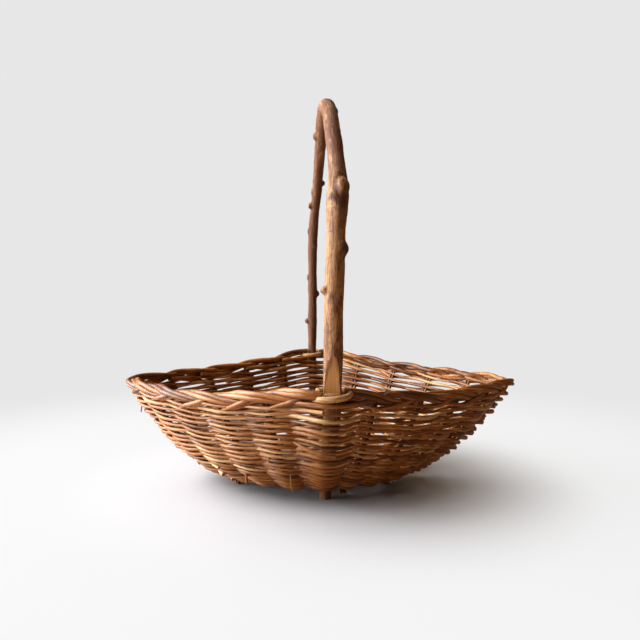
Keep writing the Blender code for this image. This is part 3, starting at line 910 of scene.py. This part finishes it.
class BASKET_OT_bindings(Operator):
    """Winds a rod round each leg where it enters the border"""

    bl_idname = "basket.bindings"
    bl_label = "Bind the legs"

    def execute(self, context):
        wall = Wall(context.scene.basket_form)
        dice = random.Random(SEED_BINDINGS)
        for name, station in (("near", NEAR_STATION), ("far", FAR_STATION)):
            leg = wall.legs[station]
            rod = []
            for part in shares(BINDING_STEPS):
                bearing = math.tau * BINDING_TURNS * part + BINDING_START
                reach = leg.radii[-1] + BINDING_RADIUS * 1.1 + MM * math.sin(bearing * 2)
                height = BINDING_PITCH * BINDING_TURNS * (part - 0.5) + 1.2 * MM * math.sin(bearing)
                place = Vector((math.cos(bearing) * reach * BINDING_WIDTH, math.sin(bearing) * reach, height))
                rod.append((leg.points[-1] + place, BINDING_RADIUS * (1.05 - 0.35 * part)))
            bundle = RodBundle(THICK_ROD_SIDES)
            bundle.add(rod, dice.uniform(0.6, 0.9))
            bundle.finish(f"{name}_leg_wrap", "rim_willow", nodes_named(f"{name}_leg_binding"))
        return {"FINISHED"}


# Handle

# Progress along the arch, near to far, against sideways sway, thickness and how far the bark is worn
HANDLE_ARCH_POWER = 2.15
SWAY_SHARES = (
    (0.0, 0.0), (0.08, 0.1), (0.16, 0.31), (0.22, 0.50), (0.32, 0.37), (0.42, 0.32),
    (0.5, 0.32), (0.6, 0.36), (0.72, 0.26), (0.82, 0.0), (0.92, 0.02), (1.0, 0.0),
)
THICKNESS_SHARES = (
    (0.0, 1.05), (0.023, 1.06), (0.05, 1.06), (0.1, 1.06), (0.125, 1.1), (0.145, 1.1), (0.165, 1.12),
    (0.183, 1.22), (0.2, 1.28), (0.213, 1.2), (0.226, 1.06), (0.245, 1.0), (0.36, 0.97), (0.5, 1.02),
    (0.6, 0.93), (0.68, 0.8), (0.8, 0.76), (0.9, 0.75), (1.0, 0.72),
)
WORN_SHARES = (
    (-1.0, 0.12), (0.0, 0.5), (0.1, 0.72), (0.2, 0.52), (0.3, 0.34), (0.5, 0.3),
    (0.6, 0.22), (0.75, 0.1), (1.0, 0.05), (2.0, 0.05),
)
# Where the bark lies inside the wall it is worn alike
SHELTERED_WEAR = 0.65
# Knots and trimmed shoots: progress, bearing in degrees, then height, reach along and reach round in
# millimetres, and how much is cut wood, or under 0 how dark the bark is
KNOTS = (
    (0.052, 62, 0.8, 8, 4, -0.9), (0.095, 165, 4.4, 4.4, 3.8, -0.6), (0.139, 15, 3.6, 8.6, 8, -1),
    (0.138, 44, 0.5, 8, 6.5, -1), (0.176, 62, 1.6, 8, 8, 0), (0.194, 122, 2, 7.5, 6, -1),
    (0.183, 100, 2.4, 8, 8, 0), (0.203, 98, 0.2, 10, 3.2, -0.9), (0.188, 62, 0.2, 4.5, 7.5, -0.9),
    (0.176, 118, 0.2, 6, 3.5, -0.7), (0.210, 60, 3.6, 11, 7.5, 0), (0.232, 100, 1.5, 9, 7, 0),
    (0.300, 120, 0.7, 7, 6, -0.35), (0.384, 10, 1, 7, 6, -0.5), (0.609, 180, 3, 5.5, 5, 0.4),
    (0.615, -60, 1.4, 5, 7, 0), (0.690, 250, 1, 6, 5, 0), (0.721, 5, 3.6, 4, 3.6, 0),
    (0.740, 175, 1.4, 5, 4.5, 0), (0.767, 188, 4.6, 4.6, 4, 0.7), (0.813, 180, 1.4, 5, 3.6, 0),
    (0.838, -60, 1.4, 5, 5, 0.3), (0.890, 175, 1.8, 5, 3.4, 0), (0.915, 2, 3.4, 4.8, 3.8, 0),
    (0.957, 182, 4.4, 4.2, 3.8, 0.3),
)
# Knots shorter than a stub's reach are stubs, and longer than a scar's reach are scars
STUB_REACH = 6 * MM
SCAR_REACH = 10 * MM
HANDLE_SIDES = 40
HANDLE_STEP = 1.6 * MM
ARCH_STEPS = 300
# Lumps of the bark, as the noise's scale and height, and the height of its ridges
BARK_LUMPS = ((32, 0.9 * MM), (110, 0.34 * MM))
BARK_RIDGE = 0.25 * MM
# Within this length of the near foot the bark gets no painted shade; the rest of both legs below the rim does
NEAR_FOOT_WITHOUT_PAINTED_SHADE = 14 * MM
SLYPE_LENGTH = 48 * MM
SLYPE_DEPTH = 6 * MM
SLYPE_FADE = 3.2 * MM
# How far a slanted cut reaches: from the rim, past its upper end and beside its middle
SLYPE_START = 2 * MM
SLYPE_PAST = 12 * MM
SLYPE_BESIDE = 30 * MM


def arch_point(form, near, far, progress):
    """A point of the handle's arch, from the near leg's rim point to the far one's."""
    bearing = math.pi * progress
    swing = math.copysign(abs(math.cos(bearing)) ** (2 / HANDLE_ARCH_POWER), math.cos(bearing))
    rise = max(math.sin(bearing), 0) ** (2 / HANDLE_ARCH_POWER)
    middle = near.lerp(far, (1 - swing) / 2)
    middle.z += (form.handle_top - middle.z) * rise
    middle.x += form.handle_sway * read_shares(SWAY_SHARES, progress)
    return middle


def handle_path(wall, form):
    """Points, radii and arch progress of the whole branch, from the near foot to the far foot."""
    near, far = wall.legs[NEAR_STATION], wall.legs[FAR_STATION]
    legs = []
    for leg, progress in ((near, -1), (far, 2)):
        foot = Vector((*leg.points[0].xy, 0))
        ends = zip([foot, *leg.points], [leg.radii[0], *leg.radii])
        legs.append([(point, radius, progress) for point, radius in ends])
    arch = []
    for step in range(1, ARCH_STEPS):
        progress = step / ARCH_STEPS
        radius = form.handle_radius * read_shares(THICKNESS_SHARES, progress)
        arch.append((arch_point(form, near.points[-1], far.points[-1], progress), radius, progress))
    rough = legs[0] + arch + legs[1][::-1]
    points = [item[0] for item in rough]
    path = []
    for piece, part in equal_steps(points, int(line_length(points) / HANDLE_STEP)):
        low, high = rough[piece], rough[piece + 1]
        path.append((low[0].lerp(high[0], part), blend(low[1], high[1], part), blend(low[2], high[2], part)))
    return path


def knots_on(path, step_length):
    """The knots with their places along the branch, in metres, and the branch's radius there."""
    knots = []
    for progress, bearing, height, reach_along, reach_round, bare in KNOTS:
        index = min(range(len(path)), key=lambda i: abs(path[i][2] - progress))
        knots.append((index * step_length, math.radians(bearing), height * MM, reach_along * MM,
                      reach_round * MM, bare, path[index][1]))
    return knots


def knot_lift(place, bearing, knots):
    """How far the bark stands out at a place, and how much of it is ring or cut."""
    lift = 0
    ring = 0
    cut = 0
    for knot_place, knot_bearing, height, reach_along, reach_round, bare, radius in knots:
        if abs(place - knot_place) > 3 * reach_along:
            continue
        turn = (bearing - knot_bearing + math.pi) % math.tau - math.pi
        away = math.hypot((place - knot_place) / reach_along, turn * radius / reach_round)
        is_stub, is_scar = reach_along < STUB_REACH, reach_along > SCAR_REACH
        flat = 0.4 if is_stub or is_scar else 0.1
        outline = 0.9 if is_stub else 0.8 if is_scar else 0.1
        lift += height * (1 - ease((away - flat) / (1.3 - flat)))
        if is_scar:
            lift -= min(height * 0.3, 0.7 * MM) * (1 - ease(abs(away - 1.15) / 0.35))
        ring = max(ring, (1 - ease(abs(away - 1.05) / 0.34)) * outline)
        if bare < 0:
            ring = max(ring, -bare * (1 - ease((away - 0.3) / 0.7)))
        elif bare:
            cut = max(cut, bare * (1 - ease((away - 0.3) / 0.35)))
            ring = max(ring, 0.8 * (1 - ease((away - 0.1) / 0.5)) * (1 - bare))
    return lift, ring, cut


def slype_plane(wall, form, station, side):
    """A point and the outward normal of a leg's slanted cut, and the height where it starts."""
    rim = wall.legs[station].points[-1]
    thick = THICKNESS_SHARES[0][1] if side < 0 else THICKNESS_SHARES[-1][1]
    top = rim + Vector((0, side * form.handle_radius * thick * 1.02, SLYPE_LENGTH))
    slant = math.atan2(SLYPE_DEPTH, SLYPE_LENGTH)
    return top, Vector((0, side * math.cos(slant), -math.sin(slant))), rim.z + SLYPE_START


class BASKET_OT_handle(Operator):
    """Bends the branch with its burl, knots, trimmed shoots and slanted cuts"""

    bl_idname = "basket.handle"
    bl_label = "Bend the handle"

    def execute(self, context):
        form = context.scene.basket_form
        wall = Wall(form)
        path = handle_path(wall, form)
        middles = [item[0] for item in path]
        length = line_length(middles)
        step_length = length / (len(path) - 1)
        knots = knots_on(path, step_length)
        slypes = [slype_plane(wall, form, NEAR_STATION, -1), slype_plane(wall, form, FAR_STATION, 1)]
        bundle = RodBundle(HANDLE_SIDES)
        bundle.add([item[:2] for item in path], 0.5)
        work = bundle.work
        uv = work.loops.layers.uv[0]
        knot_ring_and_painted_shade_layer, cut_layer, worn_layer = (
            work.verts.layers.float.new(name) for name in ("knot", "cut", "worn"))
        places = {}
        for face in work.faces:
            if len(face.verts) == 4:
                for loop in face.loops:
                    places[loop.vert] = loop[uv].uv.x
        for vert in work.verts:
            place = places.get(vert, 0 if vert.co.y < 0 else length)
            index = clamp(round(place / step_length), 0, len(path) - 1)
            middle, _, progress = path[index]
            ahead = (middles[min(index + 1, len(path) - 1)] - middles[max(index - 1, 0)]).normalized()
            away = vert.co - middle
            if away.length < 1e-6:
                continue
            out = away.normalized()
            right = Vector((1, 0, 0))
            right = (right - ahead * right.dot(ahead)).normalized()
            bearing = math.atan2(out.dot(right.cross(ahead)), out.dot(right))
            lift, ring, cut = knot_lift(place, bearing, knots)
            free = 0 <= progress <= 1
            if free:
                lift += sum(noise.noise(vert.co * scale) * height for scale, height in BARK_LUMPS)
                lift += noise.noise(Vector((out.x * 6, out.y * 6, place * 180))) * BARK_RIDGE
            vert.co += out * lift
            # Painted shade: past the near foot, the legs below the rim get a tenth of the knot colour
            vert[knot_ring_and_painted_shade_layer] = ring if free or place < NEAR_FOOT_WITHOUT_PAINTED_SHADE else 0.1
            vert[cut_layer] = cut * free
            sheltered = progress == -1 and vert.co.z > form.edge_height
            vert[worn_layer] = SHELTERED_WEAR if sheltered else read_shares(WORN_SHARES, progress)
            for plane, normal, low in slypes:
                over = (vert.co - plane).dot(normal)
                beside = abs(vert.co.y - plane.y) < SLYPE_BESIDE and low < vert.co.z < plane.z + SLYPE_PAST
                if over > 0 and beside:
                    vert.co -= normal * over
                    vert[cut_layer] = blend(0.5, 1, ease(over / SLYPE_FADE))
                    vert[knot_ring_and_painted_shade_layer] = 0
            vert.co.z = max(vert.co.z, 0)
        bundle.finish("bark_handle", "branch_bark", ["branch_handle"])
        return {"FINISHED"}


# Base

# Sticks as in the frame
BASE_STICK_RADIUS = 3.5 * MM
BASE_LONG_HEIGHT = 11.2 * MM
BASE_STICK_SPACING = 13 * MM
BASE_LONG_SIDE_COUNT = 1
BASE_CROSS_SIDE_COUNT = 2
BASE_STICK_ENDS = 4 * (BASE_LONG_SIDE_COUNT + BASE_CROSS_SIDE_COUNT) + 4
BASE_FAN_START_SHARE = 0.36
BASE_STICK_STEPS = 40
# Weaving round them
BASE_RINGS = 12
BASE_RING_RADIUS = 1.9 * MM
BASE_RING_PITCH = 4.1 * MM
BASE_RING_SWING = 4.6 * MM
BASE_ARM_STEPS = 6


def base_sticks(form):
    """Ends, bends and height of each base stick."""
    sticks = []
    for number in range(-BASE_LONG_SIDE_COUNT, BASE_LONG_SIDE_COUNT + 1):
        bends = [Vector((sign * form.edge_half_length * BASE_FAN_START_SHARE, number * BASE_STICK_SPACING, 0))
                 for sign in (1, -1)]
        sticks.append(((number / BASE_STICK_ENDS, 0.5 - number / BASE_STICK_ENDS), bends, BASE_LONG_HEIGHT))
    for number in range(-BASE_CROSS_SIDE_COUNT, BASE_CROSS_SIDE_COUNT + 1):
        bends = [Vector((number * BASE_STICK_SPACING, sign * form.edge_half_width * BASE_FAN_START_SHARE, 0))
                 for sign in (1, -1)]
        ends = (0.25 - number / BASE_STICK_ENDS, 0.75 + number / BASE_STICK_ENDS)
        sticks.append((ends, bends, BASE_LONG_HEIGHT + 2 * BASE_STICK_RADIUS + 0.3 * MM))
    return sticks


def stick_reach(wall, turn):
    return wall.edge_place(turn) - around(wall.edge, turn).normalized() * 2 * MM


def round_loop(corners):
    """A closed run through corners, eased between them, whose end overlaps its start a little."""
    points = []
    total = len(corners)
    for index in range(total + 1):
        before, here, after, beyond = (corners[(index + step) % total] for step in (-1, 0, 1, 2))
        for step in range(BASE_ARM_STEPS):
            part = step / BASE_ARM_STEPS
            point = here.lerp(after, part)
            point.z = blend(here.z, after.z, (1 - math.cos(math.pi * part)) / 2)
            bow = ((after - before) - (beyond - here)) * (part * (1 - part) * 0.25)
            points.append(point + Vector((bow.x, bow.y, 0)))
    return points


class BASKET_OT_base(Operator):
    """Lays the base sticks and weaves thin rods round them"""

    bl_idname = "basket.base"
    bl_label = "Weave the base"

    def execute(self, context):
        form = context.scene.basket_form
        wall = Wall(form)
        dice = random.Random(SEED_BASE)
        sticks = RodBundle()
        arms = []
        for ends, bends, height in base_sticks(form):
            lift = Vector((0, 0, height))
            tips = [stick_reach(wall, end) for end in ends]
            arms += [(end % 1, bend, tip, height) for end, bend, tip in zip(ends, bends, tips)]
            middles = resample([point + lift for point in (tips[0], *bends, tips[1])], BASE_STICK_STEPS)
            across = (bends[0] - bends[1]).normalized().cross(Vector((0, 0, 1)))
            for twin in (-1, 1):
                rod = []
                for index, point in enumerate(middles):
                    middle = 1 - abs(2 * index / BASE_STICK_STEPS - 1)
                    radius = (2.3 + 0.8 * middle) * MM * dice.uniform(0.97, 1.03)
                    rod.append((point + across * twin * (2.2 + 1.1 * middle) * MM, radius))
                sticks.add(rod, dice.uniform(0.2, 0.6))
        crossed = nodes_named("base_long_stick") + nodes_named("base_cross_stick")
        sticks.finish("base_cross", "stake_willow", crossed)
        arms.sort(key=lambda arm: arm[0])
        rings = RodBundle()
        for ring in range(BASE_RINGS):
            inset = ring * BASE_RING_PITCH - 1.5 * MM
            corners = []
            for index, (_, bend, tip, height) in enumerate(arms):
                side = 1 if (index + ring) % 2 == 0 else -1
                rise = Vector((0, 0, height + side * BASE_RING_SWING))
                corners.append(tip - (tip - bend).normalized() * inset + rise)
            rod = []
            for index, point in enumerate(round_loop(corners)):
                uneven = 1 + 0.08 * noise.noise(Vector((index * 0.3, ring, 0)))
                rod.append((point, BASE_RING_RADIUS * uneven))
            rings.add(rod, dice.uniform(0.2, 0.8))
        rings.finish("base_weaving", "woven_willow", nodes_named("base_ring_"))
        return {"FINISHED"}


# Stage

FLOOR_SIZE = 9
FILL_COLOUR = (1.0, 0.62, 0.33, 1)
# Area lights: name, place, target, size, share of the window's power, colour
LIGHTS = (
    ("window", (-1.45, 0.0, 0.80), (0, 0, 0.16), 1.7, 1.0, (0.96, 1.0, 1.08)),
    ("ceiling", (-0.5, 0.9, 2.6), (0, 0, 0.1), 2.4, 0.15, (1.0, 0.99, 0.96)),
)


def floor_material(settings):
    """Pale, faintly glossy floor with a painted shadow under the basket, fading into the backdrop further
    out.
    """
    material = bpy.data.materials.new("Pale floor")
    material.use_nodes = True
    sheet = NodeSheet(material.node_tree)
    shader = material.node_tree.nodes["Principled BSDF"]
    seen = sheet.node("LightPath").outputs["Is Camera Ray"]
    place = sheet.node("TexCoord").outputs["Object"]
    length = sheet.node("VectorMath", operation="LENGTH")
    sheet.wire(length, place)
    reach = length.outputs["Value"]
    colour = sheet.mix(seen, tuple(settings.floor_bounce), tuple(settings.floor_colour))
    # Painted contact shadow: the floor's colour is halved right under the basket
    painted_contact_shadow = sheet.fit(reach, 0.08, 0.17, 0.5, 1.0)
    sheet.feed_named(shader.inputs, {
        "Base Color": sheet.mix(1.0, colour, painted_contact_shadow, "MULTIPLY"),
        "Roughness": sheet.fit(sheet.noise(place, 40.0, 3.0), 0.3, 0.7, 0.34, 0.38),
        "Specular IOR Level": 0.35,
    })
    glow = sheet.node("Emission")
    sheet.feed(glow.inputs["Strength"], sheet.fit(
        reach, 0.40, 0.9, settings.floor_glow, settings.backdrop_strength))
    fade = sheet.fit(reach, 0.13, 0.36, 0.0, 0.88) + sheet.fit(reach, 0.3, 0.9, 0.0, 0.12)
    surface = sheet.blend_shaders(fade * seen, shader, glow)
    sheet.feed(material.node_tree.nodes["Material Output"].inputs["Surface"], surface)
    return material


def soft_room(settings):
    """A world that fills the shadows with warm light and shows the camera a plain backdrop."""
    world = bpy.data.worlds.new("Soft room")
    world.use_nodes = True
    sheet = NodeSheet(world.node_tree)
    fill = world.node_tree.nodes["Background"]
    sheet.wire(fill, FILL_COLOUR, settings.fill_strength)
    backdrop = sheet.node("Background")
    sheet.wire(backdrop, (1.0, 1.0, 1.0, 1), settings.backdrop_strength)
    seen = sheet.node("LightPath").outputs["Is Camera Ray"]
    surface = sheet.blend_shaders(seen, fill, backdrop)
    sheet.feed(world.node_tree.nodes["World Output"].inputs["Surface"], surface)
    return world


class BASKET_OT_stage(Operator):
    """Lays the pale floor and sets the soft light and the camera"""

    bl_idname = "basket.stage"
    bl_label = "Set the stage"

    def execute(self, context):
        scene = context.scene
        settings = scene.stage_settings
        work = bmesh.new()
        bmesh.ops.create_grid(work, x_segments=4, y_segments=4, size=FLOOR_SIZE)
        mesh = bpy.data.meshes.new("floor")
        work.to_mesh(mesh)
        work.free()
        mesh.materials.append(floor_material(settings))
        floor = bpy.data.objects.new("floor", mesh)
        scene.collection.objects.link(floor)
        scene.world = soft_room(settings)
        for name, place, target, size, share, colour in LIGHTS:
            lamp = bpy.data.lights.new(name, "AREA")
            lamp.size = size
            lamp.energy = settings.window_power * share
            lamp.color = colour
            light = bpy.data.objects.new(name, lamp)
            light.location = place
            light.rotation_euler = (Vector(target) - Vector(place)).to_track_quat("-Z", "Y").to_euler()
            scene.collection.objects.link(light)
        lens = bpy.data.cameras.new("photo camera")
        lens.lens = settings.camera_lens
        lens.sensor_width = 36
        lens.clip_start = 0.05
        camera = bpy.data.objects.new("photo camera", lens)
        camera.location = (0, -settings.camera_distance, settings.camera_height)
        camera.rotation_euler = (math.pi / 2 - settings.camera_tilt, 0, 0)
        scene.collection.objects.link(camera)
        scene.camera = camera
        scene.view_settings.view_transform = "Standard"
        return {"FINISHED"}


class BASKET_PT_panel(Panel):
    """Lists the basket's steps and sizes"""

    bl_label = "Willow basket"
    bl_idname = "BASKET_PT_panel"
    bl_space_type = "VIEW_3D"
    bl_region_type = "UI"
    bl_category = "Basket"

    def draw(self, context):
        for group in SETTINGS:
            box = self.layout.box()
            settings = getattr(context.scene, group)
            for key in settings.bl_rna.properties.keys():
                if key not in ("rna_type", "name"):
                    box.prop(settings, key)
        for step in STEPS:
            self.layout.operator(step.bl_idname)


SETTINGS = {
    "basket_form": BasketForm,
    "basket_weave": BasketWeave,
    "willow_finish": WillowFinish,
    "bark_finish": BarkFinish,
    "stage_settings": StageSettings,
}
STEPS = (
    BASKET_OT_stage, BASKET_OT_handle, BASKET_OT_wall, BASKET_OT_stakes, BASKET_OT_border,
    BASKET_OT_bindings, BASKET_OT_base,
)
CLASSES = (*SETTINGS.values(), *STEPS, BASKET_PT_panel)


def register():
    for entry in CLASSES:
        bpy.utils.register_class(entry)
    for name, group in SETTINGS.items():
        setattr(bpy.types.Scene, name, PointerProperty(type=group))


def unregister():
    for name in SETTINGS:
        delattr(bpy.types.Scene, name)
    for entry in reversed(CLASSES):
        bpy.utils.unregister_class(entry)


def main():
    register()
    bpy.ops.basket.stage()
    bpy.ops.basket.handle()
    bpy.ops.basket.wall()
    bpy.ops.basket.stakes()
    bpy.ops.basket.border()
    bpy.ops.basket.bindings()
    bpy.ops.basket.base()


if __name__ == "__main__":
    main()
